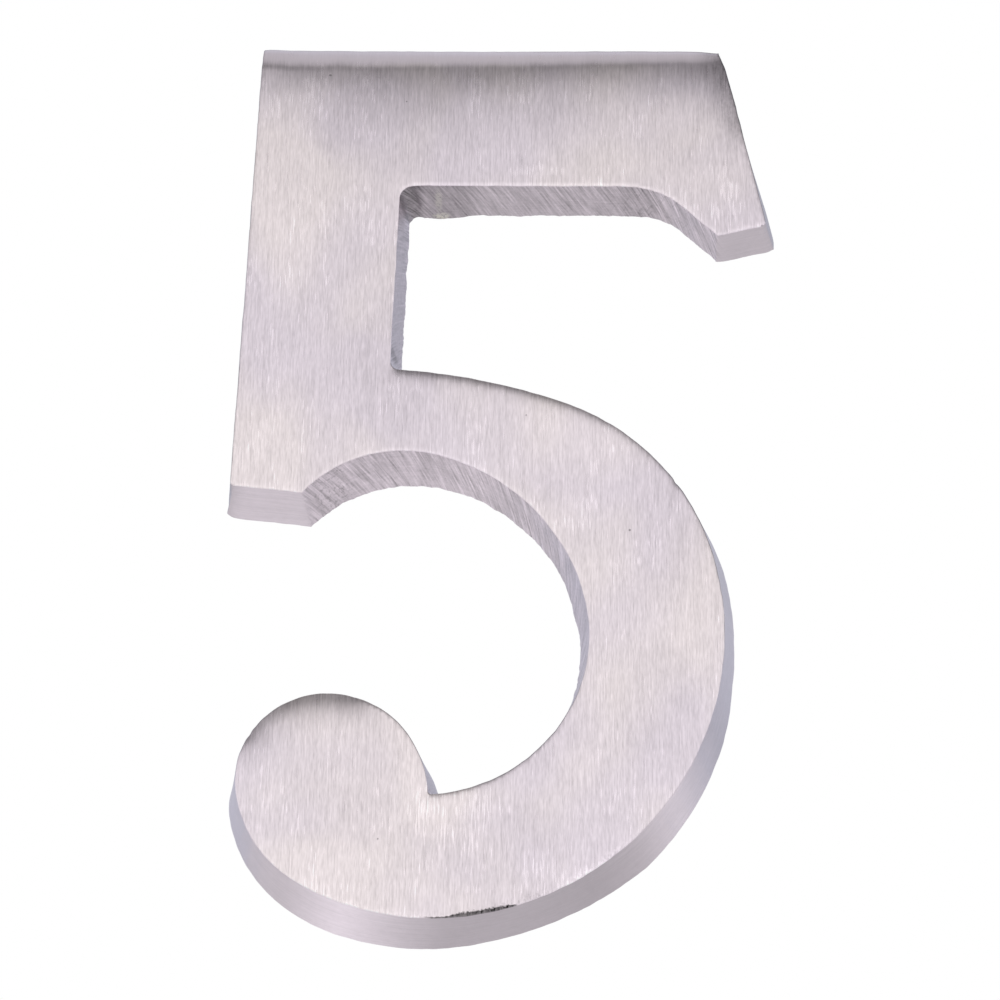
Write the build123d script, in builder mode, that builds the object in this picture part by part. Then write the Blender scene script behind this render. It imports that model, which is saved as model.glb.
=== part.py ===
"""House number "5": one solid cast numeral with drafted walls, a brushed flat
face and two blind stud holes in the flat back.

Upright frame: +X is right and +Z is up as the numeral is read. The face looks
along -Y and the back lies flat on the wall in the plane Y = 0. The origin is on
the back, midway between the two stud holes. Millimetres.
"""
import os
from build123d import *

# driving dimensions
THICKNESS = 5.3           # back plane to face
DRAFT = 9.1               # degrees, the walls flare towards the back
FLARE = 0.85              # how far the back outline stands outside the face outline
TOP_ROLL = 1.5            # the top edge is linished over more than the others
EDGE_ROLL = 0.3           # small round along every other face edge
CORNER_OUT = 0.35         # outer corners between two walls
CORNER_FLAG = 0.9         # inner corner under the flag
CORNER_STEM = 0.7         # inner corner where the stem meets the bowl
CORNER_NOTCH = 0.3        # bottom of the notch beside the ball

STUD_DRILL = 3.3          # tapping size for an M4 stud, the thread is left out
STUD_DEPTH = 3.4
STUD_PITCH = 62.0         # centre to centre, one above the other

# straight part of the face outline, as X and Z
TOP_LEFT = (-20.0, 37.15)
TOP_RIGHT = (18.1, 37.15)
FLAG_TOE = (21.75, 21.8)
FLAG_TIP = (17.8, 20.9)
FLAG_UNDER = 25.2
SWEEP_X = 10.1
SWEEP_R = 7.6
SWEEP_TURN = 42.0
STEM_TOP = (-8.4, FLAG_UNDER)
STEM_LOW = (-9.0, 9.15)
FOOT_LEFT = (-21.95, -0.95)

# outside of the bowl and the ball, clockwise from the stem to the notch:
# heading at the start, then the radius and the turn of each tangent arc
OUTSIDE_HEADING = -3.0
OUTSIDE = (
    (51.1, 16.3),
    (19.3, 50.5),
    (23.7, 104.5),
    (21.3, 35.3),
    (10.5, 49.9),
    (7.3, 118.2),
    (8.5, 72.3),
)
# inside of the bowl, counter-clockwise from the notch to the foot
INSIDE_HEADING = 2.5
INSIDE = (
    (13.5, 55.8),
    (13.1, 43.2),
    (16.5, 66.4),
    (11.0, 60.1),
)

with BuildPart() as numeral:
    # face outline, grown to the back outline and drawn in towards the face
    with BuildSketch(Plane.XZ):
        with BuildLine():
            Line(STEM_LOW, STEM_TOP)
            Line(STEM_TOP, (SWEEP_X, FLAG_UNDER))
            sweep = JernArc((SWEEP_X, FLAG_UNDER), (1, 0), SWEEP_R, -SWEEP_TURN)
            Polyline(sweep @ 1, FLAG_TIP, FLAG_TOE, TOP_RIGHT, TOP_LEFT, FOOT_LEFT)

            place = Vector(*STEM_LOW)
            heading = Vector(1, 0).rotate(Axis.Z, OUTSIDE_HEADING)
            for radius, turn in OUTSIDE:
                arc = JernArc(place, heading, radius, -turn)
                place = arc @ 1
                heading = arc % 1
            notch = (place.X, place.Y)

            heading = Vector(1, 0).rotate(Axis.Z, INSIDE_HEADING)
            for radius, turn in INSIDE:
                arc = JernArc(place, heading, radius, turn)
                place = arc @ 1
                heading = arc % 1
            foot_right = (place.X, place.Y)
            Line(foot_right, FOOT_LEFT)
        make_face()
        offset(amount=FLARE, kind=Kind.INTERSECTION)
    extrude(amount=THICKNESS, taper=DRAFT)

    # corners between two walls
    for corner, radius in (
        (TOP_LEFT, CORNER_OUT),
        (TOP_RIGHT, CORNER_OUT),
        (FLAG_TOE, CORNER_OUT),
        (FLAG_TIP, CORNER_OUT),
        (FOOT_LEFT, CORNER_OUT),
        (foot_right, CORNER_OUT),
        (STEM_TOP, CORNER_FLAG),
        (STEM_LOW, CORNER_STEM),
        (notch, CORNER_NOTCH),
    ):
        through = numeral.edges().filter_by(lambda e: abs((e @ 0).Y - (e @ 1).Y) > THICKNESS / 2)
        wall_edge = through.sort_by_distance((corner[0], -THICKNESS, corner[1]))[0]
        fillet(wall_edge, radius)

    # face edge all the way round
    face = numeral.faces().sort_by(Axis.Y)[0]
    fillet(face.edges(), EDGE_ROLL)

    # top edge, linished over to a larger round
    with BuildSketch(Plane.YZ) as roll:
        with BuildLine():
            Polyline(
                (0, TOP_LEFT[1] + FLARE),
                (-THICKNESS, TOP_LEFT[1]),
                (-THICKNESS, TOP_LEFT[1] - 4 * TOP_ROLL),
                (-2 * THICKNESS, TOP_LEFT[1] - 4 * TOP_ROLL),
                (-2 * THICKNESS, TOP_LEFT[1] + 2 * FLARE),
                (0, TOP_LEFT[1] + 2 * FLARE),
                close=True,
            )
        make_face()
        top_edge = roll.vertices().sort_by_distance((-THICKNESS, TOP_LEFT[1], 0))[0]
        fillet(top_edge, TOP_ROLL)
    extrude(amount=2 * TOP_LEFT[1], both=True, mode=Mode.SUBTRACT)

    # blind stud holes in the back
    with Locations(Plane.XZ.rotated((180, 0, 0))):
        with Locations((0, STUD_PITCH / 2), (0, -STUD_PITCH / 2)):
            Hole(STUD_DRILL / 2, depth=STUD_DEPTH)

numeral.part.label = "numeral"
os.makedirs("parts", exist_ok=True)
export_step(numeral.part, "parts/numeral.step")
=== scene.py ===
"""Solid cast house number "5" in satin nickel, brushed upright on its face, with
filed inner walls, polished outer walls and a flat back with two stud holes.

The numeral stands in the row frame: +X right, +Z up, its face towards -Y and its
back on the plane Y = 0. Sizes are in millimetres until the mesh is made.
"""
import math
from typing import NamedTuple

import bpy
import numpy as np
from bpy.props import FloatProperty, FloatVectorProperty, PointerProperty
from mathutils import Matrix, Vector, noise
from mathutils.geometry import delaunay_2d_cdt


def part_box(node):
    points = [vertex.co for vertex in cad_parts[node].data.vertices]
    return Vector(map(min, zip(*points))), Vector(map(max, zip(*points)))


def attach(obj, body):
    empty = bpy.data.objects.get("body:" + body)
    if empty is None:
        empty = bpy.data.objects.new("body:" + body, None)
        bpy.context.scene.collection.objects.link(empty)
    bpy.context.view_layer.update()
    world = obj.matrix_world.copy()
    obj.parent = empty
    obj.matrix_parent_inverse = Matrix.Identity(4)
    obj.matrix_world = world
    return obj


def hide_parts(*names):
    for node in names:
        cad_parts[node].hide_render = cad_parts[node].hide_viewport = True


bl_info = {
    "name": "House Number 5",
    "version": (1, 0, 0),
    "blender": (4, 5, 0),
    "location": "View3D > Sidebar > House Number",
    "description": "Builds a cast satin nickel house number and the studio it is shown in",
    "category": "Object",
}

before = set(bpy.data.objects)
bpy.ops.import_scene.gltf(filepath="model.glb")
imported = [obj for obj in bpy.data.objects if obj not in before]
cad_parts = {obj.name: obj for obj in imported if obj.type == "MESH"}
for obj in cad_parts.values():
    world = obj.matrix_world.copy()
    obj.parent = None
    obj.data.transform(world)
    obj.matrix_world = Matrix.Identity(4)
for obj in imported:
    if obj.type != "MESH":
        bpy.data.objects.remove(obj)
CAD_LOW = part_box("numeral")[0]
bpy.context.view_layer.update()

MM = 0.001

# face outline of the numeral
TOP_LEFT = (-20.0, 37.70)     # the casting's source has its top edge 0.5 mm lower
TOP_RIGHT = (18.04, 37.60)
FLAG_TOE = (21.87, 21.8)
FLAG_TIP = (17.8, 20.9)
SWEEP_START = (10.1, 25.2)
SWEEP_R = 7.6
SWEEP_TURN = 42.0
STEM_TOP = (-8.4, 25.2)
STEM_LOW = (-9.0, 9.15)
FOOT_LEFT = (-21.86, -0.95)
OUTSIDE_HEADING = -3.0
OUTSIDE = (       # arcs round the bowl and the ball: radius and turn in degrees
    (51.1, 16.3), (19.3, 50.5), (23.7, 104.5), (21.3, 35.3),
    (10.5, 49.9), (7.3, 118.2), (8.5, 72.3),
)
INSIDE_HEADING = 2.5
INSIDE = ((13.5, 55.8), (13.1, 43.2), (16.5, 66.4), (11.0, 60.1))

# stud holes and their M4 thread
STUD_DEPTH = 3.4
COUNTERSINK = 0.32
THREAD_PITCH = 0.7
THREAD_DEPTH = 0.33
THREAD_START = 0.35
THREAD_END = 2.35
THREAD_RUN_OUT = 0.5
THREAD_FLAT = 0.15    # share of the thread's depth that its crests and roots lack
DRILL_POINT = 0.99

# steps of the mesh, and numbers of its rings, rows and sides
RUN_STEP = 0.19
FAN_STEP = 0.07
FACE_STEP = 0.33
BACK_STEP = 1.6
TOP_STEP = 0.2
EDGE_RINGS = 4
WALL_RINGS = 11
TOP_ROWS = 15
HOLE_SIDES = 48
THREAD_ROWS = 8       # for each turn of the thread
COMPARED = 2000       # points whose distances are worked out at once
SHARP_ANGLE = 38.0

# settings that the properties share
LENGTH = {"unit": "LENGTH", "precision": 5}
COLOUR = {"size": 3, "subtype": "COLOR", "min": 0.0, "max": 1.0}


class NumeralShape(bpy.types.PropertyGroup):
    """Sizes of the casting that a user would change."""

    edge_roll: FloatProperty(
        name="Edge Round", description="Round along the face edges", default=0.08 * MM,
        min=0.02 * MM, max=0.6 * MM, **LENGTH,
    )
    top_roll: FloatProperty(
        name="Top Shoulder", description="How far below the top edge the linished shoulder starts",
        default=2.35 * MM, min=0.2 * MM, max=3.5 * MM, **LENGTH,
    )
    crown: FloatProperty(
        name="Top Crown", description="How far the face falls away before the top edge", default=0.68 * MM,
        min=0.0, max=0.8 * MM, **LENGTH,
    )
    wander: FloatProperty(
        name="Edge Wander", description="Hand-finished wander of the walls", default=0.035 * MM,
        min=0.0, max=0.2 * MM, **LENGTH,
    )
    ragged: FloatProperty(
        name="Ragged Rim", description="Roughness of the filed rim at the back of the inner walls",
        default=0.08 * MM, min=0.0, max=0.3 * MM, **LENGTH,
    )
    stud_drill: FloatProperty(
        name="Stud Hole", description="Tapping size of the two stud holes", default=3.3 * MM,
        min=2.0 * MM, max=5.0 * MM, **LENGTH,
    )
    stud_pitch: FloatProperty(
        name="Stud Spacing", description="Stud holes, centre to centre", default=62.0 * MM,
        min=20.0 * MM, max=65.0 * MM, **LENGTH,
    )


class NumeralFinish(bpy.types.PropertyGroup):
    """Colours of the finish."""

    warm: FloatVectorProperty(
        name="Warm Nickel", description="Creamier parts of the brushed face", default=(0.790, 0.715, 0.728),
        **COLOUR,
    )
    cool: FloatVectorProperty(
        name="Cool Nickel", description="Lavender parts of the brushed face", default=(0.735, 0.664, 0.722),
        **COLOUR,
    )
    wall: FloatVectorProperty(
        name="Wall Nickel", description="Cast and filed walls", default=(0.760, 0.684, 0.738),
        **COLOUR,
    )
    back: FloatVectorProperty(
        name="Back Nickel", description="Ground back", default=(0.500, 0.470, 0.490),
        **COLOUR,
    )


class Studio(bpy.types.PropertyGroup):
    """Floor, light and camera."""

    floor_drop: FloatProperty(
        name="Floor Drop", description="Height of the floor below the numeral's centre", default=0.32,
        min=0.1, max=2.0, unit="LENGTH",
    )
    floor_colour: FloatVectorProperty(
        name="Floor", description="Colour of the plain floor", default=(0.86, 0.86, 0.87),
        **COLOUR,
    )
    key_power: FloatProperty(
        name="Key Light", description="Power of the large soft lamp, in watts", default=3.0,
        min=0.0, max=500.0,
    )
    lens: FloatProperty(
        name="Lens", description="Focal length on a 36 mm sensor", default=216.0,
        min=20.0, max=400.0, unit="CAMERA",
    )


# outline of the face

STRAIGHT_RUNS = ("foot", "stem", "end", "side", "top", "left")
CORNER_REACH = 8.0    # how far along a curved run its corner is felt


def turned(heading, angle):
    """A unit direction turned counter-clockwise by an angle in degrees."""
    c, s = math.cos(math.radians(angle)), math.sin(math.radians(angle))
    return np.array((heading[0] * c - heading[1] * s, heading[0] * s + heading[1] * c))


def line_run(start, end):
    """Points and directions along a straight wall."""
    start, end = np.array(start), np.array(end)
    length = np.linalg.norm(end - start)
    count = max(2, round(length / RUN_STEP) + 1)
    points = start + (end - start) * np.linspace(0, 1, count)[:, None]
    return points, np.repeat([(end - start) / length], count, axis=0)


def arc_run(start, heading, radius, turn):
    """Points and directions along an arc that leaves start in a heading and turns by degrees."""
    count = max(3, round(radius * abs(math.radians(turn)) / RUN_STEP) + 1)
    side = math.copysign(1.0, turn)
    centre = np.array(start) + side * radius * turned(heading, 90)
    ways = np.array([turned(heading, angle) for angle in np.linspace(0, turn, count)])
    left = np.stack((-ways[:, 1], ways[:, 0]), axis=1)
    return centre - side * radius * left, ways


def joined(parts):
    """One run from stretches that follow each other, without the doubled points."""
    points = [parts[0][0]] + [part[0][1:] for part in parts[1:]]
    ways = [parts[0][1]] + [part[1][1:] for part in parts[1:]]
    return np.concatenate(points), np.concatenate(ways)


def arc_chain(start, angle, arcs, side):
    """One run of tangent arcs, each a radius and a turn in degrees."""
    place, heading, parts = np.array(start), turned((1, 0), angle), []
    for radius, turn in arcs:
        parts.append(arc_run(place, heading, radius, side * turn))
        place, heading = parts[-1][0][-1], parts[-1][1][-1]
    return joined(parts)


def reverse(run):
    """A run from its end to its start."""
    points, ways = run
    return points[::-1], -ways[::-1]


def outline_runs():
    """The runs between corners, counter-clockwise from the foot, each with its name and
    its end corner's radius."""
    outer = arc_chain(STEM_LOW, OUTSIDE_HEADING, OUTSIDE, -1)
    inner = arc_chain(outer[0][-1], INSIDE_HEADING, INSIDE, 1)
    sweep = arc_run(SWEEP_START, (1, 0), SWEEP_R, -SWEEP_TURN)
    under = joined([line_run(STEM_TOP, SWEEP_START), sweep, line_run(sweep[0][-1], FLAG_TIP)])
    return (
        ("foot", line_run(FOOT_LEFT, inner[0][-1]), 0.15),
        ("arch", reverse(inner), 0.3),
        ("bowl", reverse(outer), 0.7),
        ("stem", line_run(STEM_LOW, STEM_TOP), 1.15),
        ("under", under, 0.15),
        ("end", line_run(FLAG_TIP, FLAG_TOE), 0.32),
        ("side", line_run(FLAG_TOE, TOP_RIGHT), 0.2),
        ("top", line_run(TOP_RIGHT, TOP_LEFT), 0.2),
        ("left", line_run(TOP_LEFT, FOOT_LEFT), 0.35),
    )


def right_of(ways):
    """Outward normals of a counter-clockwise outline."""
    return np.stack((ways[..., 1], -ways[..., 0]), axis=-1)


def trimmed(run, start, end):
    """A run cut back by lengths at its ends, with its place along itself and its full length."""
    points, ways = run
    length = np.concatenate(([0], np.cumsum(np.linalg.norm(np.diff(points, axis=0), axis=1))))
    keep = (length > start + RUN_STEP / 3) & (length < length[-1] - end - RUN_STEP / 3)
    stations = np.concatenate(([start], length[keep], [length[-1] - end]))

    def at(values):
        return np.stack([np.interp(stations, length, column) for column in values.T], axis=1)

    return at(points), at(ways), stations, length[-1]


class Corner(NamedTuple):
    """Where two runs meet: its point, the way it moves as the outline grows, 1 where it
    stands out and -1 where it turns in, the angle there, its radius and the runs' directions."""

    point: np.ndarray
    mitre: np.ndarray
    convex: float
    angle: float
    radius: float
    ahead: np.ndarray
    leaving: np.ndarray


def corner_of(run, radius, following):
    """The corner at the end of a run."""
    ahead, leaving = run[1][-1], following[1][0]
    cosine = float(np.dot(ahead, leaving))
    mitre = (right_of(ahead) + right_of(leaving)) / (1 + cosine)
    convex = math.copysign(1.0, ahead[0] * leaving[1] - ahead[1] * leaving[0])
    angle = math.acos(max(-1.0, min(1.0, cosine)))
    return Corner(run[0][-1], mitre, convex, angle, radius, ahead, leaving)


def face_outline():
    """The rounded face outline as arrays: points, the way each point moves as the outline
    grows by one millimetre, unit outward normals and each point's run name."""
    runs = outline_runs()
    corners = [
        corner_of(run, radius, following)
        for (_, run, radius), (_, following, _) in zip(runs, runs[1:] + runs[:1])
    ]
    points, grows, normals, names = [], [], [], []
    for i, (name, run, _) in enumerate(runs):
        before, after = corners[i - 1], corners[i]
        cut = [corner.radius * math.tan(corner.angle / 2) for corner in (before, after)]
        at, ways, stations, total = trimmed(run, *cut)
        out = right_of(ways)
        reach = total if name in STRAIGHT_RUNS else min(CORNER_REACH, total / 2)
        slide = np.dot(before.mitre, before.leaving) * np.clip(1 - stations / reach, 0, 1)
        slide += np.dot(after.mitre, after.ahead) * np.clip(1 - (total - stations) / reach, 0, 1)
        points.append(at)
        grows.append(out + slide[:, None] * ways)
        normals.append(out)
        names += [name] * len(at)

        count = max(4, math.ceil(after.radius * after.angle / FAN_STEP))
        spin = math.degrees(after.angle) * after.convex
        fan = np.array([turned(right_of(after.ahead), spin * k / count) for k in range(1, count)])
        centre = after.point - after.convex * after.radius * after.mitre
        points.append(centre + after.convex * after.radius * fan)
        grows.append(np.repeat([after.mitre], count - 1, axis=0))
        normals.append(fan)
        names += [name] * (count - 1)
    return np.concatenate(points), np.concatenate(grows), np.concatenate(normals), np.array(names)


# section of the walls

X, Z = 0, 1           # columns of the outline's points and normals
INNER_WALLS = ("arch", "stem", "under")
WALLS = {             # how far each wall's back rim stands outside the face, how light the wall is painted (painted shade and painted reflection)
    "foot": (1.22, 1.13), "arch": (0.74, 1.05), "bowl": (0.52, 0.98), "stem": (0.72, 0.90),
    "under": (0.70, 0.85), "end": (0.50, 0.90), "side": (0.20, 0.80), "top": (0.40, 0.90),
    "left": (0.24, 0.74),
}
FLARE_CHANGES = (     # run, column that it follows, low and high end, more flare at each
    ("left", Z, 31.5, 36.5, 0.18, 0.0),
    ("side", Z, 24.0, 35.5, 0.62, 0.0),
    ("under", X, -6.0, -2.0, 0.35, 0.0),
    ("under", X, 10.5, 14.5, 0.0, -0.40),
)
BOWL_FLARES = (       # bearing of the outer wall's normal in degrees, flare
    (-180, 0.80), (-142, 1.15), (-112, 1.50), (-92, 1.32), (-76, 1.08), (-60, 1.18), (-45, 1.48),
    (-30, 1.36), (-18, 1.20), (-8, 0.92), (4, 0.88), (14, 0.98), (25, 0.84), (36, 0.52), (180, 0.52),
)
BOWL_PAINTED_LIGHT = (        # along the lower outer wall: X and how light it is painted, a painted reflection
    (-22.0, 1.22), (-19.5, 1.06), (-16.5, 1.03), (-12.2, 1.46), (-8.2, 1.10), (-4.0, 0.80), (2.0, 0.81),
    (8.0, 0.75), (11.0, 0.89), (12.7, 1.13), (14.3, 1.26), (17.2, 0.94), (19.5, 1.20),
)
LOW_SPOTS = (         # broad dips of the face: X, Z, half width, half height and depth
    (21.5, 38.0, 5.0, 4.6, 0.22),
    (-3.5, 40.0, 8.0, 6.0, 0.22),
)
NICKS = (             # dents along the face edge: X, Z, depth and half width
    (-19.8, -21.9, 0.05, 0.25),
    (21.8, 21.7, 0.14, 0.3),
    (14.4, -0.5, 0.06, 0.20),
    (18.2, -6.7, 0.08, 0.30),
    (18.4, 37.9, 0.22, 1.5),
    (-20.2, 37.9, 0.10, 0.5),
)
RIM_ROUNDS = 6        # the edge starts further out where the face lies lower, found in rounds
BACK_BREAK = 0.1      # broken edge at the back
BACK_INSET = 0.12     # how far inside the wall's end the flat back starts
FACING_UP = 0.9       # an edge whose normal rises more than this gets the rolled shoulder
DRIFT = ((25, 1.7, 0.6), (70, 5.1, 0.4))      # wander's layers: size, seed and share
DRIFT_ON_TOP = 0.8    # how much of the wander the top edge has
DRIFT_ELSEWHERE = 2.0
ROUGH = ((58, 2.0, 1.5, 0.6), (150, 7.0, 3.0, 0.4))     # size, first and further seed, share
CAST_SKIN = 0.012     # roughness of a wall that isn't filed
FILED_SKIN = 0.12     # share of the ragged rim's roughness that a filed wall has in front
TORN_RIM = 1.5        # and how much more of it the rim has
TORN_FROM = 0.45      # how far through the wall that starts
NICK_FADE = 0.6       # how much of a nick is gone at the back


def softened(values, reach):
    """A closed run of values averaged with its neighbours, reach samples each way."""
    spread = np.arange(-reach, reach + 1)
    weights = np.exp(-0.5 * (spread / (0.45 * reach)) ** 2)
    return sum(w * np.roll(values, int(k)) for k, w in zip(spread, weights)) / weights.sum()


def ramp(value, low, high):
    """0 below low, 1 above high and smooth between."""
    t = np.clip((value - low) / (high - low), 0, 1)
    return t * t * (3 - 2 * t)


def grain_at(x, z, scale, seed):
    """Smooth noise between about -1 and 1 at points in millimetres, the same in each run."""
    return np.array([noise.noise(Vector((a / scale, b / scale, seed))) for a, b in zip(x, z)])


def grain_round(circle, *layers):
    """Smooth noise round a closed outline: each layer a circle's size, a seed and a share."""
    return np.array([
        sum(noise.noise(Vector((size * math.cos(a), size * math.sin(a), seed))) * share
            for size, seed, share in layers)
        for a in circle
    ])


def distances(spots, others):
    """From some of the spots at a time to all the others, with the slice of those spots."""
    for start in range(0, len(spots), COMPARED):
        some = slice(start, start + COMPARED)
        yield some, np.linalg.norm(spots[some, None, :] - others[None, :, :], axis=2)


def bearings(normals):
    """Directions of normals in degrees, 0 to the right and 90 up."""
    return np.degrees(np.arctan2(normals[:, Z], normals[:, X]))


def wall_flare(points, normals, names):
    """How far the back rim stands outside the face outline at each sample."""
    flare = np.array([WALLS[name][0] for name in names])
    x, z = points[:, X], points[:, Z]
    down, right = np.clip(-normals[:, Z], 0, 1), normals[:, X]
    flare = np.where(names == "bowl", np.interp(bearings(normals), *zip(*BOWL_FLARES)), flare)
    for run, column, low, high, first, last in FLARE_CHANGES:
        along = ramp(points[:, column], low, high)
        flare += np.where(names == run, first * (1 - along) + last * along, 0.0)
    ball_side = (names == "bowl") & (z < -10) & (normals[:, Z] > -0.3) & (x < 0) & (right > 0)
    flare = np.where(ball_side, 0.36 + 0.40 * (1 - ramp(z, -26.0, -22.5)), flare)
    arch = 0.66 * down ** 1.5 + 0.24 * ramp(right, 0.0, 0.5)
    arch -= 0.36 * ramp(-right, 0.0, 0.5) * ramp(down, 0.25, 0.55)
    flare += np.where(names == "arch", arch, 0.0)
    return softened(flare, 6)


def painted_wall_light(points, normals, names):
    """How light the wall is painted at each sample: painted shade and painted reflection for the light each
    wall gets.
    """
    x, z = points[:, X], points[:, Z]
    tone = np.array([WALLS[name][1] for name in names])
    tone += np.where(names == "under", 0.16 * ramp(x, 9.0, 12.0), 0.0)
    low_bowl = (names == "bowl") & (z < -5) & (normals[:, Z] < 0.1)
    return softened(tone * np.where(low_bowl, np.interp(x, *zip(*BOWL_PAINTED_LIGHT)), 1.0), 8)


def edge_shade(points, normals, names):
    """How much painted shade the face's edge gets at each sample: above 0 where it faces up or
    sideways and is painted darker, below 0 where it faces down and gets a painted highlight."""
    shade = normals[:, Z] + np.where(np.isin(names, ("left", "side")), 0.7, 0.0)
    bowl_right = (names == "bowl") & (points[:, X] > 10)
    shade += np.where(bowl_right, 0.55 * ramp(normals[:, X], 0.6, 0.9), 0.0)
    return softened(shade, 2)


class Relief:
    """How far the hand-linished face lies behind its plane, in millimetres. It falls away
    towards the edges that face up, most of all the top and the ball's worn upper left."""

    LEAST = 0.004     # an edge that falls less is left out

    def __init__(self, points, normals, names, crown):
        x, z = points[:, X], points[:, Z]
        up = np.clip(normals[:, Z], 0, 1)
        bearing = bearings(normals)
        upper_left = ramp(bearing, 50.0, 82.0) * (1 - ramp(bearing, 138.0, 170.0))
        top, arch, bowl, ball = names == "top", names == "arch", names == "bowl", z < -10
        falls = (     # edge, how far the face falls there, how far in that is felt
            (top, crown * (0.75 + 0.40 * ramp(x, -20.0, -16.0) - 0.12 * ramp(x, -12.0, -6.0)), 2.4),
            (bowl & ball, 0.40 * upper_left + 0.05 * up * (1 - upper_left), 1.4),
            (bowl & ~ball, 0.11 * up ** 2, 0.5),
            (arch, 0.05 * up, 0.4),
        )
        depth, reach = np.zeros(len(points)), np.full(len(points), 1.4)
        for edge, fall, inwards in falls:
            depth = np.where(edge, fall, depth)
            reach = np.where(edge, inwards, reach)
        depth = softened(depth, 4)
        felt = depth > self.LEAST
        self.points, self.depth, self.reach = points[felt], depth[felt], reach[felt]

    def __call__(self, x, z):
        drop = np.zeros(len(x))
        for some, gap in distances(np.stack((x, z), axis=1), self.points):
            drop[some] = (self.depth * np.exp(-gap / self.reach)).max(axis=1)
        for cx, cz, wide, tall, low in LOW_SPOTS:
            drop += low * np.exp(-((x - cx) / wide) ** 2 - ((z - cz) / tall) ** 2)
        return drop + 0.022 * grain_at(x, z * 0.7, 8.0, 4.2) + 0.010 * grain_at(x, z, 3.4, 9.7)


class TopRoll:
    """The linished shoulder along the top edge: how far it lies behind the face's plane.
    It eases into a shallow slope and ends in a tight round."""

    SLOPE, EASE, ROUND = 0.38, 1.8, 0.6
    HIGHER = (        # X and how much higher the shoulder starts there
        (-18.0, 0.0), (-5.0, 0.18), (8.0, 0.36), (16.0, 0.62), (18.5, 0.85),
    )

    def __init__(self, below):
        self.top = TOP_LEFT[Z]
        self.start = self.top - below

    def __call__(self, x, z):
        later = np.interp(x, *zip(*self.HIGHER))
        later = later + 0.10 * grain_at(x, z * 0.1, 0.9, 3.3) + 0.10 * grain_at(x, z * 0.1, 3.0, 8.1)
        up = np.clip(z - self.start - later, 0, None)
        t = np.minimum(up / self.EASE, 1)
        slope = self.SLOPE * (self.EASE * (t ** 3 - t ** 4 / 2) + np.clip(up - self.EASE, 0, None))
        last = np.clip(z - self.top + 0.7 * self.ROUND, 0, self.ROUND)
        return slope + self.ROUND - np.sqrt(self.ROUND ** 2 - last ** 2)

    def rows(self, x, clear):
        """Points along the shoulder, closer together than the rest of the face."""
        z = np.linspace(self.start, self.top - clear, TOP_ROWS)
        return np.array([(a + TOP_STEP / 2 * (k % 2), b) for k, b in enumerate(z) for a in x])


def inside(x, z, loop):
    """Which points lie inside a closed loop."""
    hit = np.zeros(len(x), bool)
    ends = np.roll(loop, -1, axis=0)
    for (ax, az), (bx, bz) in zip(loop, ends):
        if az != bz:
            hit ^= ((az > z) != (bz > z)) & (x < (bx - ax) * (z - az) / (bz - az) + ax)
    return hit


def from_edge(spots, loop):
    """How far spots lie from a closed loop's points."""
    nearest = np.zeros(len(spots))
    for some, gap in distances(spots, loop):
        nearest[some] = gap.min(axis=1)
    return nearest


def filling(loop, step, clear, holes=()):
    """Points in a hexagonal pattern inside a loop, clear of it and of round holes."""
    low, high = loop.min(axis=0), loop.max(axis=0)
    rows = np.arange(low[Z], high[Z], step * math.sqrt(3) / 2)
    across = [np.arange(low[X] + (i % 2) * step / 2, high[X], step) for i in range(len(rows))]
    x, z = np.concatenate(across), np.repeat(rows, [len(row) for row in across])
    keep = inside(x, z, loop)
    x, z = x[keep], z[keep]
    free = from_edge(np.stack((x, z), axis=1), loop) > clear
    for cx, cz, radius in holes:
        free &= np.hypot(x - cx, z - cz) > radius + clear
    return np.stack((x[free], z[free]), axis=1)


FILLED = 1            # the triangulation keeps what lies inside the outer loop
CLOSE = 1e-7          # points nearer than this are one


def triangles(loops, extra, holes=()):
    """Triangles between closed loops and the extra points, as indices into the loops' points
    followed by the extra ones."""
    points = [Vector(p) for loop in loops for p in loop] + [Vector(p) for p in extra]
    edges, start = [], 0
    for loop in loops:
        edges += [(start + i, start + (i + 1) % len(loop)) for i in range(len(loop))]
        start += len(loop)
    verts, _, faces, origins, _, _ = delaunay_2d_cdt(points, edges, [], FILLED, CLOSE)
    if len(verts) != len(points):
        raise RuntimeError("an outline of the numeral crosses itself")
    source = [origin[0] for origin in origins]
    made = []
    for face in faces:
        centre = sum((verts[i] for i in face), Vector((0, 0))) / len(face)
        if all(math.hypot(centre.x - cx, centre.y - cz) > radius for cx, cz, radius in holes):
            made.append([source[i] for i in face])
    return made


# the numeral's mesh

PARTS = ("face", "walls", "back", "holes")


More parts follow.
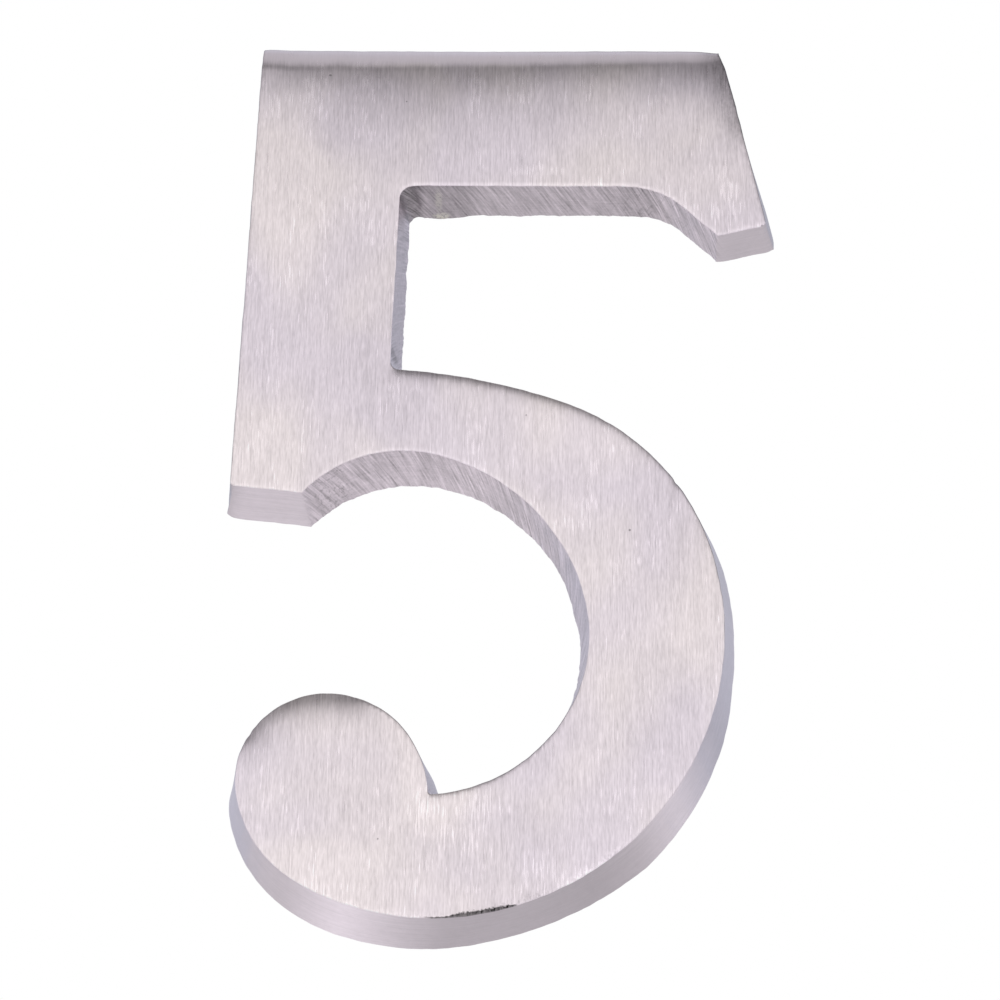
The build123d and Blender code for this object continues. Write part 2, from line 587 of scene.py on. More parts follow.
class Casting:
    """Gathers the numeral's vertices and their marks, and its faces with their part and
    their place along the wall."""

    def __init__(self):
        self.verts, self.faces, self.parts, self.runs, self.marks = [], [], [], [], []

    def put(self, x, y, z):
        """Adds points and gives the first one's number."""
        start = len(self.verts)
        self.verts.extend(zip(*np.broadcast_arrays(x, y, z)))
        return start

    def face(self, corners, part, run=None):
        """Adds a face of one part between points given by number."""
        self.faces.append(tuple(int(c) for c in corners))
        self.parts.append(PARTS.index(part))
        self.runs.append(run or [(0.0, 0.0)] * len(corners))

    def mark(self, name, start, values):
        """Keeps one value for each point from a number on."""
        self.marks.append((name, start, values))

    def object(self, name):
        """The mesh as an object, with its marks as attributes."""
        mesh = bpy.data.meshes.new(name)
        mesh.from_pydata([[c * MM for c in v] for v in self.verts], [], self.faces)
        mesh.polygons.foreach_set("material_index", self.parts)
        layer = mesh.uv_layers.new(name="wall_run")
        layer.data.foreach_set("uv", np.array([uv for run in self.runs for uv in run], np.float32).ravel())
        mesh.validate()
        mesh.shade_smooth()
        mesh.set_sharp_from_angle(angle=math.radians(SHARP_ANGLE))
        kept = {}
        for mark, start, values in self.marks:
            all_values = kept.setdefault(mark, np.zeros(len(self.verts), np.float32))
            all_values[start:start + len(values)] = values
        for mark, values in kept.items():
            mesh.attributes.new(mark, "FLOAT", "POINT").data.foreach_set("value", values)
        made = bpy.data.objects.new(name, mesh)
        bpy.context.scene.collection.objects.link(made)
        return made


class Section:
    """The face outline and how the walls and the face's edge run out from it."""

    def __init__(self, shape):
        self.points, self.grows, self.normals, self.names = face_outline()
        outline = (self.points, self.normals, self.names)
        self.thick = -CAD_LOW.y / MM
        self.edge = shape.edge_roll / MM
        self.wander, self.ragged = shape.wander / MM, shape.ragged / MM
        self.flare = wall_flare(*outline)
        self.tone, self.shade = painted_wall_light(*outline), edge_shade(*outline)
        self.filed = softened(np.isin(self.names, INNER_WALLS).astype(float), 5)
        self.relief = Relief(*outline, shape.crown / MM)
        self.rolled = TopRoll(shape.top_roll / MM)
        step = np.linalg.norm(np.roll(self.points, -1, axis=0) - self.points, axis=1)
        self.along = np.concatenate(([0], np.cumsum(step)))

    def at(self, s):
        """X and Z of the outline grown by s."""
        return self.points[:, X] + s * self.grows[:, X], self.points[:, Z] + s * self.grows[:, Z]

    def low(self, x, z):
        """How far the face lies behind its plane."""
        return self.rolled(x, z) + self.relief(x, z)

    def profile(self):
        """From the face to the back, each ring's growth, depth and share of the wall."""
        flare, thick, edge = self.flare, self.thick, self.edge
        rim = np.zeros(len(self.points))
        for _ in range(RIM_ROUNDS):
            rim = flare * self.low(*self.at(rim)) / thick
        top = (self.normals[:, Z] > FACING_UP) & (self.points[:, Z] > self.rolled.start)
        bend = math.pi / 2 - np.arctan2(flare, thick)
        tangent = edge * np.tan(bend / 2)
        rings = []
        for k in range(EDGE_RINGS):
            a = bend * k / (EDGE_RINGS - 1)
            s = rim + edge * np.sin(a) - tangent
            on_roll = np.maximum(self.low(*self.at(s)), s * thick / flare)
            rounded = self.low(*self.at(rim)) + edge * (1 - np.cos(a))
            rings.append((s, np.where(top, on_roll, rounded), 0.0))
        first_s, first_y, _ = rings[-1]
        for k in range(1, WALL_RINGS + 1):
            through = k / WALL_RINGS
            broken = BACK_BREAK if k == WALL_RINGS else 0.0
            rings.append((
                first_s + (flare - first_s) * through - broken * 0.2,
                first_y + (thick - first_y) * through - broken,
                through,
            ))
        return rings + [(flare - BACK_INSET, np.full(len(self.points), thick), 1.0)]

    def rings(self):
        """X, Y and Z of each ring, with the wander, the nicks and the filed roughness."""
        circle = self.along[:-1] * 2 * math.pi / self.along[-1]
        drift = grain_round(circle, *DRIFT)
        drift = drift * self.wander * np.where(self.names == "top", DRIFT_ON_TOP, DRIFT_ELSEWHERE)
        cut = np.zeros(len(self.points))
        for nx, nz, deep, wide in NICKS:
            gap = (self.points[:, X] - nx) ** 2 + (self.points[:, Z] - nz) ** 2
            cut += deep * np.exp(-gap / wide ** 2)
        made = []
        for s, y, through in self.profile():
            rough = grain_round(circle, *(
                (size, seed + through * further, share) for size, seed, further, share in ROUGH
            ))
            torn = FILED_SKIN + TORN_RIM * ramp(np.array(through), TORN_FROM, 1.0)
            torn = self.filed * self.ragged * torn
            off = drift - cut * (1 - NICK_FADE * through)
            off = off + rough * (torn + CAST_SKIN)
            x, z = self.at(s)
            y = np.clip(y - self.thick, None, 0.0)
            made.append(np.stack((x + off * self.normals[:, X], y, z + off * self.normals[:, Z])))
        return made


def skin_of_walls(casting, section, rings, starts):
    """Quads between the rings: the face's rounded edge, then the walls."""
    along, count = section.along * MM, len(section.points)
    gaps = [float(np.mean(np.sqrt(sum((a - b) ** 2)))) for a, b in zip(rings, rings[1:])]
    across = np.cumsum([0.0] + gaps) * MM
    for k in range(len(rings) - 1):
        part = "face" if k < EDGE_RINGS - 1 else "walls"
        near, far = starts[k], starts[k + 1]
        for i in range(count):
            j = (i + 1) % count
            run = [(along[i], across[k]), (along[i], across[k + 1]),
                   (along[i + 1], across[k + 1]), (along[i + 1], across[k])]
            casting.face((near + i, far + i, far + j, near + j), part, run)
    for k, start in enumerate(starts):
        casting.mark("filed", start, section.filed)
        # the walls' painted shade and painted reflection, kept as a mark
        casting.mark("tone", start, section.tone)
        # the edge rings carry the painted edge shade and painted highlight as the rim mark
        if k < EDGE_RINGS:
            casting.mark("rim", start, section.shade * (0.5 if k == 0 else 1.0))


def skin_of_face(casting, section, rim, rim_start):
    """Triangles over the face, with how far each point lies from the rim."""
    spots = filling(rim, FACE_STEP, FACE_STEP * 0.45)
    spots = spots[spots[:, Z] < section.rolled.start - FACE_STEP * 0.4]
    rows = section.rolled.rows(np.arange(TOP_LEFT[X] - 1, TOP_RIGHT[X] + 1, TOP_STEP), TOP_STEP / 2)
    rows = rows[inside(rows[:, X], rows[:, Z], rim)]
    spots = np.concatenate((spots, rows[from_edge(rows, rim) > TOP_STEP * 0.45]))
    x, z = spots.T
    start = casting.put(x, section.low(x, z) - section.thick, z)
    casting.mark("inset", start, from_edge(spots, rim))
    for face in triangles([rim], spots):
        casting.face([rim_start + i if i < len(rim) else start + i - len(rim) for i in face], "face")


def round_hole(cx, cz, radius):
    """X and Z of the points round a hole."""
    angle = np.arange(HOLE_SIDES) * 2 * math.pi / HOLE_SIDES
    return cx + radius * np.cos(angle), cz + radius * np.sin(angle)


def stud_hole(casting, mouth_start, cx, cz, radius):
    """A drilled and tapped blind hole that starts at a loop already in the casting."""
    sides = np.arange(HOLE_SIDES)
    rows, depth = [mouth_start], THREAD_START
    while depth < THREAD_END:
        turn = depth / THREAD_PITCH - sides / HOLE_SIDES
        wave = np.abs((turn % 1.0) * 2 - 1)
        lead = min(1.0, (THREAD_END - depth) / THREAD_RUN_OUT)
        form = np.clip(wave * (1 + 2 * THREAD_FLAT) - THREAD_FLAT, 0, 1)
        r = radius + THREAD_DEPTH * lead * form
        x, z = round_hole(cx, cz, r)
        rows.append(casting.put(x, -depth, z))
        depth += THREAD_PITCH / THREAD_ROWS
    for share in (1.0, 0.5):    # the start of the drill's point, and half way down it
        x, z = round_hole(cx, cz, radius * share)
        rows.append(casting.put(x, share * DRILL_POINT - STUD_DEPTH, z))
    tip = casting.put([cx], -STUD_DEPTH, cz)
    for near, far in zip(rows, rows[1:]):
        for i in sides:
            j = (i + 1) % HOLE_SIDES
            casting.face((near + i, far + i, far + j, near + j), "holes")
    for i in sides:
        casting.face((rows[-1] + i, tip, rows[-1] + (i + 1) % HOLE_SIDES), "holes")


def skin_of_back(casting, shape, rim, rim_start):
    """Triangles over the flat back, and the two stud holes in it."""
    radius, reach = shape.stud_drill / MM / 2, shape.stud_pitch / MM / 2
    holes = [(0.0, cz, radius + COUNTERSINK) for cz in (reach, -reach)]
    mouths = [np.stack(round_hole(*hole), axis=1) for hole in holes]
    spots = filling(rim, BACK_STEP, BACK_STEP * 0.4, holes)
    numbers = list(range(rim_start, rim_start + len(rim)))
    starts = []
    for loop in mouths + [spots]:
        starts.append(casting.put(loop[:, X], 0.0, loop[:, Z]))
        numbers += range(starts[-1], starts[-1] + len(loop))
    for face in triangles([rim] + mouths, spots, holes):
        casting.face([numbers[i] for i in reversed(face)], "back")
    for mouth_start, (cx, cz, _) in zip(starts, holes):
        stud_hole(casting, mouth_start, cx, cz, radius)


def cast_numeral(shape):
    """The whole numeral as one closed mesh."""
    casting, section = Casting(), Section(shape)
    rings = section.rings()
    starts = [casting.put(*ring) for ring in rings]
    front, back = rings[0], rings[-1]
    skin_of_walls(casting, section, rings, starts)
    skin_of_face(casting, section, front[[0, 2]].T, starts[0])
    skin_of_back(casting, shape, back[[0, 2]].T, starts[-1])
    return casting.object("cast_numeral")


# shader expressions

class Wire:
    """A socket in an expression. Arithmetic on it adds Math nodes to its tree."""

    def __init__(self, nodes, socket):
        self.nodes, self.socket = nodes, socket

    def maths(self, operation, *values):
        """A Math node on some values."""
        return self.nodes.add("ShaderNodeMath", {"operation": operation}, dict(enumerate(values)))

    def __add__(self, other):
        return self.maths("ADD", self, other)

    def __radd__(self, other):
        return self.maths("ADD", other, self)

    def __sub__(self, other):
        return self.maths("SUBTRACT", self, other)

    def __rsub__(self, other):
        return self.maths("SUBTRACT", other, self)

    def __mul__(self, other):
        return self.maths("MULTIPLY", self, other)

    def __rmul__(self, other):
        return self.maths("MULTIPLY", other, self)

    def __truediv__(self, other):
        return self.maths("DIVIDE", self, other)

    def __rtruediv__(self, other):
        return self.maths("DIVIDE", other, self)

    def stepped(self):
        """Whole steps of a value."""
        return self.maths("FLOOR", self)

    def between(self, low, high):
        """0 at low, 1 at high, smooth between."""
        return self.nodes.add(
            "ShaderNodeMapRange", {"interpolation_type": "SMOOTHSTEP"},
            {"Value": self, "From Min": low, "From Max": high},
        )


class Nodes:
    """Adds nodes to one node tree."""

    def __init__(self, tree):
        self.tree = tree
        tree.nodes.clear()

    def add(self, kind, settings=None, sockets=None, out=0):
        """A node with its settings, then its sockets, as a wire from one of its outputs."""
        made = self.tree.nodes.new(kind)
        for name, value in (settings or {}).items():
            setattr(made, name, value)
        for name, value in (sockets or {}).items():
            if isinstance(value, Wire):
                self.tree.links.new(value.socket, made.inputs[name])
            else:
                made.inputs[name].default_value = value
        return Wire(self, made.outputs[out]) if len(made.outputs) else None

    def mix(self, factor, a, b, blend="MIX"):
        """Colour a towards colour b."""
        a, b = (colour if isinstance(colour, Wire) else (*colour[:3], 1.0) for colour in (a, b))
        settings = {"data_type": "RGBA", "blend_type": blend}
        return self.add("ShaderNodeMix", settings, {0: factor, 6: a, 7: b}, out=2)

    def grey(self, value):
        """A value as a colour."""
        return self.add("ShaderNodeCombineColor", None, {0: value, 1: value, 2: value})

    def point(self, x, y, z):
        """Three values as a place."""
        return self.add("ShaderNodeCombineXYZ", None, {0: x, 1: y, 2: z})

    def noise(self, x, y, z, detail=2.0, rough=0.5, warp=0.0):
        """Smooth noise between 0 and 1 with spots about one unit across."""
        at = self.point(x, y, z)
        sockets = {"Vector": at, "Scale": 1.0, "Detail": detail, "Roughness": rough, "Distortion": warp}
        return self.add("ShaderNodeTexNoise", {"noise_dimensions": "3D"}, sockets)

    def axes(self, vector):
        """X, Y and Z of a vector."""
        made = self.add("ShaderNodeSeparateXYZ", None, {0: vector})
        return [Wire(self, output) for output in made.socket.node.outputs]

    def scaled(self, vector, scale):
        """A vector made longer."""
        return self.add("ShaderNodeVectorMath", {"operation": "SCALE"}, {0: vector, "Scale": scale})

    def millimetres(self):
        """X, Y and Z on the object, in millimetres."""
        return self.axes(self.scaled(self.add("ShaderNodeTexCoord", out=3), 1 / MM))

    def attribute(self, name):
        """A mark of the mesh."""
        return self.add("ShaderNodeAttribute", {"attribute_name": name}, out=2)

    def bump(self, height, deep):
        """The normal over a surface of some height."""
        return self.add("ShaderNodeBump", None, {"Height": height, "Distance": deep, "Strength": 1.0})


# finishes

def finish_of(name, constants, build):
    """A material from a function that gives the sockets that change over the surface."""
    material = bpy.data.materials.new(name)
    material.use_nodes = True
    nodes = Nodes(material.node_tree)
    surface = nodes.add("ShaderNodeBsdfPrincipled", None, {**constants, **build(nodes)})
    nodes.add("ShaderNodeOutputMaterial", None, {"Surface": surface})
    return material


DIM_PATCHES = (       # dull or bright areas of the face: X, Z, half width, half height, how dull
    (-9.5, 30.5, 8.0, 6.0, 0.055),
    (15.0, 31.0, 4.0, 3.5, -0.045),
    (-9.0, 9.5, 4.5, 8.0, 0.060),
    (14.0, -4.5, 4.0, 6.5, 0.050),
    (13.5, -20.0, 4.5, 7.0, 0.040),
    (-1.0, -31.0, 8.0, 4.5, 0.050),
    (-12.0, -27.0, 6.0, 6.0, 0.035),
    (-17.5, 24.0, 4.0, 12.0, -0.040),
    (-19.5, 2.0, 4.5, 5.0, -0.045),
    (7.5, 4.5, 8.0, 6.0, -0.050),
    (-4.5, -26.5, 3.5, 5.0, -0.045),
    (-16.0, -33.0, 8.0, 3.5, -0.040),
    (14.5, -29.0, 4.0, 4.0, -0.030),
)
SCUFFS_WITH_PAINTED_GLINT = (           # where the scratches with a painted glint gather: X, Z, half width, half height, how many
    (-17.0, 33.0, 4.0, 4.5, 0.17),
    (-4.0, -29.0, 4.5, 4.5, 0.17),
    (18.5, 24.5, 3.0, 4.0, 0.17),
    (2.0, -33.5, 7.0, 3.0, 0.17),
    (6.0, 26.3, 7.0, 1.6, 0.17),
    (-14.0, 2.5, 5.0, 2.5, 0.17),
)
PITS = (              # small pores of the casting in the face: X, Z and radius
    (-14.4, 35.1, 0.14),
    (-8.0, 32.7, 0.08),
    (2.2, 5.2, 0.08),
    (10.7, -4.6, 0.12),
    (-9.3, -30.6, 0.09),
    (21.5, 21.75, 0.15),
)
FLAG_SIDE = (0.242, 27.14)    # the flag's right edge: how much X falls for each Z, and X at Z = 0


def soft_patch(x, z, cx, cz, wide, tall):
    """1 in the middle of an ellipse and 0 at its edge."""
    across, up = (x - cx) / wide, (z - cz) / tall
    return 1 - (across * across + up * up).between(0.0, 1.0)


def patched(value, x, z, patches):
    """A value with an amount added to it in each patch of a table."""
    for cx, cz, wide, tall, amount in patches:
        value = amount * soft_patch(x, z, cx, cz, wide, tall) + value
    return value


def brushed_face(colours):
    """Upright brushing that fans out a little towards the foot, in cream and lavender."""

    def build(nodes):
        x, y, z = nodes.millimetres()
        wander = nodes.noise(x * 0.5, 0.0, z * 0.06, detail=1.0)
        fan = x / (1 - 0.0006 * z) + 0.15 * wander
        strand = (fan * 9.0).stepped()
        hairs = nodes.noise(strand * 7.3, 0.0, z * 0.30, detail=2.0, rough=0.6)
        threads = nodes.noise((fan * 13.0).stepped() * 5.7, 6.0, z * 1.3, detail=1.0)
        strokes = nodes.noise((fan * 14.0).stepped() * 3.9, 12.0, z * 0.62, detail=0.0)
        clump = nodes.noise(fan * 0.30 + 9.0, 0.0, z * 0.16, detail=1.0)
        bands = nodes.noise(fan * 1.3, 3.0, z * 0.10, detail=2.0, rough=0.5)
        cloud = nodes.noise(fan * 0.055, 0.0, z * 0.05, detail=2.0, rough=0.5, warp=0.3)
        linished = z.between(35.9, 36.7)
        clump = patched(clump, x, z, SCUFFS_WITH_PAINTED_GLINT)
        # bright strokes: real scratches whose glint is painted into the colour; the bump keeps their relief
        bright = (strokes + 0.80 * clump).between(1.125, 1.25) * (1 - linished)
        # rim mark: painted highlight on edges that face down, painted shade on edges that face up or
        # sideways
        rim = nodes.attribute("rim")
        lit_edge, painted_edge_shade = (-1.0 * rim).between(0.15, 0.9), rim.between(0.1, 0.8)
        dim = patched(0.0, x, z, DIM_PATCHES)
        speckle = nodes.noise(x * 5.0, y, z * 3.0, detail=2.0, rough=0.7)
        lean, start = FLAG_SIDE
        beside = (x + lean * z - start).between(-2.6, -0.1)
        worn = beside * z.between(27.5, 31.5) * (0.1 + 1.4 * speckle)
        inset = nodes.attribute("inset")
        # a dark line along the bowl's lower edge: the burnished round's dark reflection, painted into the
        # colour, with a speckled fringe of painted dark beside it
        width = 0.05 * soft_patch(x, z, -3.6, -36.0, 3.2, 3.0)
        width = width + 0.30 * soft_patch(x, z, -0.9, -36.4, 3.2, 1.6)
        marked = width.between(0.012, 0.05)
        inwards = inset / (width + 0.01) + 2.2 * (speckle - 0.5)
        painted_dark_reflection = marked * (1 - inwards.between(0.5, 1.1))
        painted_dark_fringe = (1 - inset.between(0.1, 0.8)) * soft_patch(x, z, 2.5, -35.8, 5.0, 2.6)
        painted_dark_fringe = painted_dark_fringe * speckle.between(0.45, 0.62)
        sparkle = (1 - inset.between(0.1, 0.7)) * speckle.between(0.42, 0.62)
        low_edge = soft_patch(x, z, 9.5, -33.5, 6.5, 4.0) + 0.5 * soft_patch(x, z, -9.0, -35.5, 8.0, 4.0)
        sparkle = sparkle * low_edge
        pits = 0.0
        for cx, cz, size in PITS:
            ends = {0: nodes.point(x, 0.0, z), 1: (cx, 0.0, cz)}
            away = nodes.add("ShaderNodeVectorMath", {"operation": "DISTANCE"}, ends, out=1)
            pits = (1 - away.between(size * 0.5, size)) + pits

        brushed = (0.62 * (hairs - 0.5) + 0.46 * (threads - 0.5)) * (1 - 0.8 * linished)
        violet = 0.7 * soft_patch(x, z, -13.5, 33.0, 9.0, 6.5)
        cream = cloud.between(0.36, 0.64) - 9.0 * dim - linished - violet
        base = nodes.mix(cream, colours.cool, colours.warm)
        light = 1.02 + brushed + 0.05 * bands + 0.21 * bright - 0.50 * pits - dim
        light = light + 0.40 * lit_edge * speckle - 0.35 * painted_edge_shade - 0.42 * worn
        # painted sparkle near the lower edges, then the painted dark reflection and its fringe
        light = light + 0.22 * sparkle - 0.90 * painted_dark_reflection - 0.22 * painted_dark_fringe
        colour = nodes.mix(1.0, base, nodes.grey(light), "MULTIPLY")
        return {
            "Base Color": colour,
            "Roughness": 0.23 + 0.07 * hairs + 0.05 * bands - 0.04 * bright,
            "Normal": nodes.bump(hairs + 0.5 * bright - pits, 0.006 * MM),
        }

    return finish_of("brushed_nickel_face", {"Metallic": 1.0, "Anisotropic": 0.7}, build)


WALL_PATCHES = (      # dark or light areas of the walls: X, Z, half width, half height, how light
    (11.4, 24.6, 2.0, 2.5, -0.18),
    (-4.6, 24.6, 3.6, 2.5, -0.20),
    (-8.9, 10.7, 0.50, 0.70, -0.30),
)
RESIDUE = (0.74, 0.71, 0.66)


def finished_walls(colours):
    """Polished lengthwise outside, filed aslant inside."""

    def build(nodes):
        x, y, z = nodes.millimetres()
        u, v, _ = nodes.axes(nodes.scaled(nodes.add("ShaderNodeUVMap", {"uv_map": "wall_run"}), 1 / MM))
        filed = nodes.attribute("filed")
        polish = nodes.noise(u * 0.16, v * 5.5, 2.0, detail=3.0, rough=0.6)
        slant = u - 0.40 * v
        cuts = nodes.noise((slant * 6.0).stepped() * 3.7, v * 0.20 + 0.1 * u, 4.0, detail=1.0)
        scores = nodes.noise((slant * 12.0).stepped() * 5.3, v * 0.45, 9.0, detail=1.0)
        counter = u + 0.30 * v
        other = nodes.noise((counter * 8.0).stepped() * 4.1, v * 0.45, 14.0, detail=0.0)
        crossed = other.between(0.60, 0.70) * soft_patch(x, z, 12.5, 24.0, 4.5, 4.0)
        cast = nodes.noise(x * 1.6, y * 1.6, z * 1.6, detail=4.0, rough=0.65)
        tone = nodes.noise(x * 0.16, y * 0.16 + 5.0, z * 0.16, detail=1.0)
        # painted shade in the inner corner where the stem meets the flag's underside
        corner_painted_shade = soft_patch(x, z, -8.2, 25.2, 2.0, 1.9)
        flecks = nodes.noise(x * 4.5, y * 3.0, z * 4.5, detail=2.0, rough=0.6)
        specks = soft_patch(x, z, -13.6, -0.6, 2.4, 3.0) * flecks.between(0.52, 0.66)
        patches = patched(0.0, x, z, WALL_PATCHES)

        calm = soft_patch(x, z, -8.8, 16.0, 1.4, 7.0) + soft_patch(x, z, 8.3, -9.0, 2.6, 8.0)
        marks = 0.5 + (0.6 * cuts + 0.4 * scores - 0.5) * (1 - 0.65 * calm)
        grain = nodes.mix(filed, nodes.grey(polish), nodes.grey(marks))
        worked, _, _ = nodes.axes(grain)
        light = 0.66 + 0.26 * polish + 0.14 * cast + 0.08 * tone + patches
        light = light + filed * (1.5 * (marks - 0.5) - 0.12 * crossed + 0.3 * (flecks - 0.5))
        light = light - 0.50 * corner_painted_shade - 0.30 * specks
        # each wall's painted shade and painted reflection from its mark
        light = light * nodes.attribute("tone")
        drip = 0.5 * soft_patch(x, y, -5.3, -3.0, 0.40, 2.2) + soft_patch(x, y, -5.1, -0.5, 0.9, 0.7)
        residue = drip * z.between(22.0, 23.0) * (1 - z.between(26.0, 27.0)) * flecks.between(0.32, 0.50)
        colour = nodes.mix(1.0, colours.wall, nodes.grey(light), "MULTIPLY")
        return {
            "Base Color": nodes.mix(residue, colour, RESIDUE),
            "Roughness": 0.32 + 0.12 * worked + filed * 0.12 + 0.2 * residue,
            "Normal": nodes.bump(worked + filed * (0.6 * cast - 0.4 * crossed), 0.025 * MM),
        }

    return finish_of("finished_nickel_walls", {"Metallic": 1.0, "Anisotropic": 0.2}, build)


def ground_back(colours):
    """Belt marks over a sand-cast skin."""

    def build(nodes):
        x, y, z = nodes.millimetres()
        belt = nodes.noise(x * 0.22, y, z * 3.4, detail=3.0, rough=0.6)
        skin = nodes.noise(x * 1.3, y + 5.0, z * 1.3, detail=5.0, rough=0.6)
        hollow = nodes.noise(x * 0.8, y + 9.0, z * 0.8, detail=3.0, rough=0.6)
        hollow = hollow.between(0.64, 0.76)
        patch = nodes.noise(x * 0.09, y + 2.0, z * 0.09, detail=2.0)
        light = 0.62 + 0.34 * belt * (1 - 0.7 * hollow) + 0.20 * skin - 0.12 * hollow + 0.24 * patch
        colour = nodes.mix(1.0, colours.back, nodes.grey(light), "MULTIPLY")
        return {
            "Base Color": colour,
            "Roughness": 0.40 + 0.10 * belt + 0.14 * hollow,
            "Normal": nodes.bump(belt * (1 - hollow) + 1.2 * skin * (0.3 + hollow), 0.04 * MM),
        }

    return finish_of("ground_nickel_back", {"Metallic": 1.0}, build)


def drilled_metal(colours):
    """Bright cut metal with turning marks, with painted shade that darkens it deeper in."""

    def build(nodes):
        x, y, z = nodes.millimetres()
        rings = nodes.noise(x * 0.3, y * 9.0, z * 0.3, detail=2.0)
        # painted shade, darker deeper in the hole
        depth = (-1.0 * y).between(0.0, STUD_DEPTH)
        light = (0.95 - 0.40 * depth) * (0.85 + 0.3 * rings)
        colour = nodes.mix(1.0, colours.warm, nodes.grey(light), "MULTIPLY")
        return {"Base Color": colour, "Roughness": 0.28 + 0.15 * rings}

    return finish_of("drilled_nickel", {"Metallic": 1.0}, build)


# studio

CAMERA_AT = (9.92 * MM, -468.9 * MM, -152.7 * MM)
CAMERA_TARGET = (0.090 * MM, -2.65 * MM, -1.258 * MM)
CAMERA_ROLL = 0.64
SENSOR = 36.0
LAMP_AT = (0.0, -0.1, 1.5)
LAMP_SIZE = 1.4
FLOOR_HALF = 3.0
WHITE = (1.0, 1.0, 1.0)
SKY_BEHIND = (0.83, 0.89, 1.0)


def aimed(location, target, roll=0.0):
    """The matrix of a camera or lamp at location that looks at target, its upright turned by roll."""
    ahead = (Vector(target) - Vector(location)).normalized()
    tilt = math.radians(roll)
    across = ahead.cross(Vector((-math.sin(tilt), 0, math.cos(tilt)))).normalized()
    upright = across.cross(ahead)
    turn = Matrix((across, upright, -ahead)).transposed()
    return Matrix.Translation(location) @ turn.to_4x4()


def ceiling_lamp(power):
    """A large soft lamp over the numeral, out of sight and of reflections."""
    data = bpy.data.lights.new("ceiling_lamp", "AREA")
    data.shape, data.size, data.size_y, data.energy = "RECTANGLE", LAMP_SIZE, LAMP_SIZE, power
    lamp = bpy.data.objects.new("ceiling_lamp", data)
    bpy.context.scene.collection.objects.link(lamp)
    lamp.matrix_world = aimed(LAMP_AT, (0, 0, 0))
    lamp.visible_camera = False
    lamp.visible_glossy = False


def view(lens):
    """The camera that the numeral is seen from."""
    data = bpy.data.cameras.new("view")
    data.lens, data.sensor_width = lens, SENSOR
    camera = bpy.data.objects.new("view", data)
    bpy.context.scene.collection.objects.link(camera)
    camera.matrix_world = aimed(CAMERA_AT, CAMERA_TARGET, CAMERA_ROLL)
    bpy.context.scene.camera = camera


def studio_sky():
    """White behind the numeral, and for its reflections a bright front, a dim gap over it
    and a paler ceiling."""
    world = bpy.data.worlds.new("studio_sky")
    world.use_nodes = True
    bpy.context.scene.world = world
    nodes = Nodes(world.node_tree)
    _, ahead, height = nodes.axes(nodes.add("ShaderNodeTexCoord"))
    front = 1 - ahead.between(-0.2, 0.1)
    gap = height.between(0.28, 0.66) * (1 - height.between(0.68, 0.94)) * front
    reflected = 1.0 - 0.78 * gap - 0.40 * height.between(0.74, 0.92) * front - 0.28 * (1 - front)
    ray = nodes.add("ShaderNodeLightPath").socket.node.outputs
    seen, glossy, through = (
        Wire(nodes, ray[kind]) for kind in ("Is Camera Ray", "Is Glossy Ray", "Is Transmission Ray")
    )
    shine = glossy.maths("MAXIMUM", glossy, through)
    level = seen + (1 - seen) * (shine * reflected + (1 - shine) * 0.85)
    bluish = (1 - seen) * shine * (1 - front) * (1 - 0.6 * height.between(0.55, 0.9))
    tint = nodes.mix(bluish, WHITE, SKY_BEHIND)
    background = nodes.add("ShaderNodeBackground", None, {"Color": tint, "Strength": level})
    nodes.add("ShaderNodeOutputWorld", None, {"Surface": background})


def pale_floor(studio):
    """A plain pale floor well below the numeral."""
    mesh = bpy.data.meshes.new("pale_floor")
    corners = [(FLOOR_HALF * x, FLOOR_HALF * y, 0) for x, y in ((-1, -1), (1, -1), (1, 1), (-1, 1))]
    mesh.from_pydata(corners, [], [(0, 1, 2, 3)])
    floor = bpy.data.objects.new("pale_floor", mesh)
    bpy.context.scene.collection.objects.link(floor)
    floor.location.z = -studio.floor_drop
    paint = {"Base Color": (*studio.floor_colour, 1.0), "Roughness": 0.9}
    mesh.materials.append(finish_of("pale_floor", paint, lambda nodes: {}))


# operators and panel

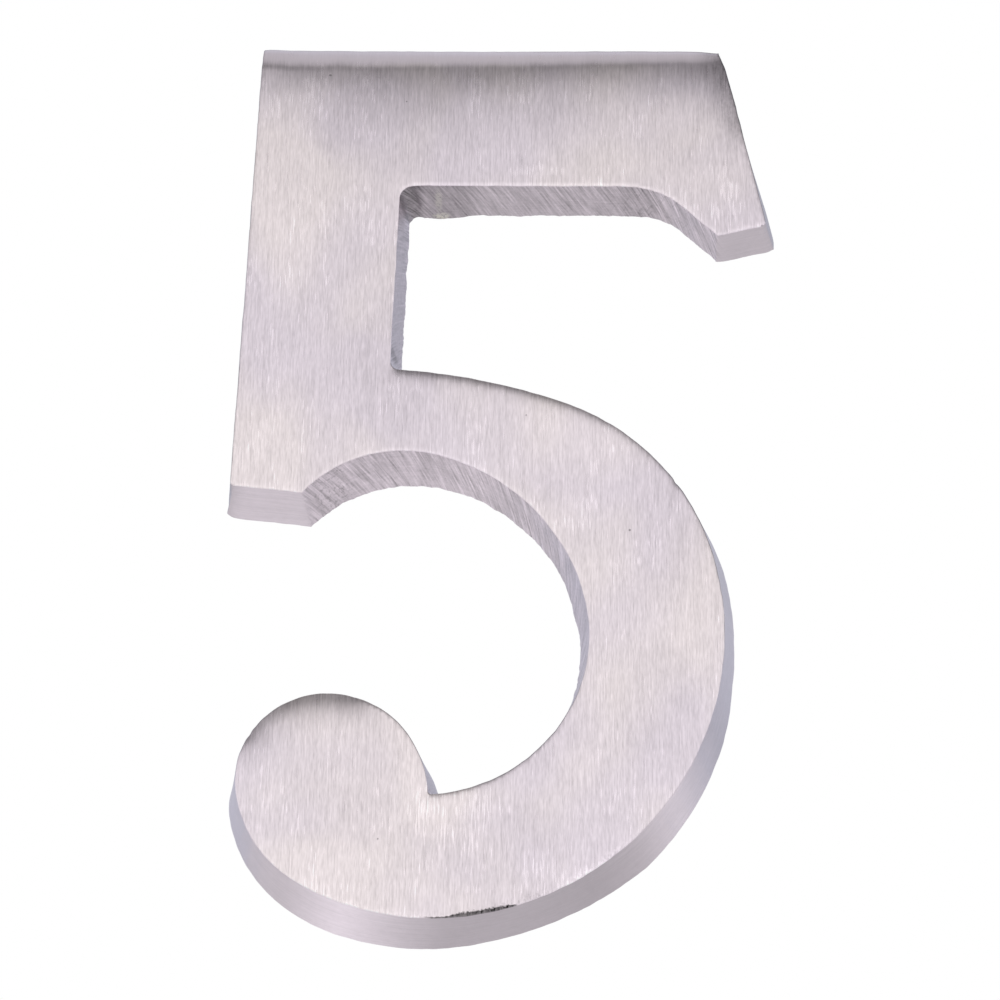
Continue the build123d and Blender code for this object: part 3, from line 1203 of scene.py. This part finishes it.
class HOUSENUMBER_OT_numeral(bpy.types.Operator):
    """Build the cast numeral with its brushed face, walls, back and stud holes"""

    bl_idname = "house_number.numeral"
    bl_label = "Numeral"
    bl_options = {"REGISTER", "UNDO"}

    def execute(self, context):
        numeral = cast_numeral(context.scene.numeral_shape)
        colours = context.scene.numeral_finish
        for finish in (brushed_face, finished_walls, ground_back, drilled_metal):
            numeral.data.materials.append(finish(colours))
        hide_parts("numeral")
        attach(numeral, "root")
        return {"FINISHED"}


class HOUSENUMBER_OT_studio(bpy.types.Operator):
    """Set up the pale floor, the soft light and the camera"""

    bl_idname = "house_number.studio"
    bl_label = "Studio"
    bl_options = {"REGISTER", "UNDO"}

    def execute(self, context):
        scene, studio = context.scene, context.scene.numeral_studio
        pale_floor(studio)
        studio_sky()
        ceiling_lamp(studio.key_power)
        view(studio.lens)
        scene.view_settings.view_transform = "Standard"
        return {"FINISHED"}


class HOUSENUMBER_PT_panel(bpy.types.Panel):
    """Sizes, colours and steps of the house number"""

    bl_label = "House Number"
    bl_idname = "HOUSENUMBER_PT_panel"
    bl_space_type = "VIEW_3D"
    bl_region_type = "UI"
    bl_category = "House Number"

    def draw(self, context):
        scene = context.scene
        for group in (scene.numeral_shape, scene.numeral_finish, scene.numeral_studio):
            box = self.layout.box()
            for name in group.__annotations__:
                box.prop(group, name)
        self.layout.operator("house_number.numeral")
        self.layout.operator("house_number.studio")


CLASSES = (
    NumeralShape, NumeralFinish, Studio,
    HOUSENUMBER_OT_numeral, HOUSENUMBER_OT_studio, HOUSENUMBER_PT_panel,
)


def register():
    for cls in CLASSES:
        bpy.utils.register_class(cls)
    bpy.types.Scene.numeral_shape = PointerProperty(type=NumeralShape)
    bpy.types.Scene.numeral_finish = PointerProperty(type=NumeralFinish)
    bpy.types.Scene.numeral_studio = PointerProperty(type=Studio)


def unregister():
    del bpy.types.Scene.numeral_studio
    del bpy.types.Scene.numeral_finish
    del bpy.types.Scene.numeral_shape
    for cls in reversed(CLASSES):
        bpy.utils.unregister_class(cls)


def main():
    register()
    bpy.ops.house_number.studio()
    bpy.ops.house_number.numeral()


if __name__ == "__main__":
    main()
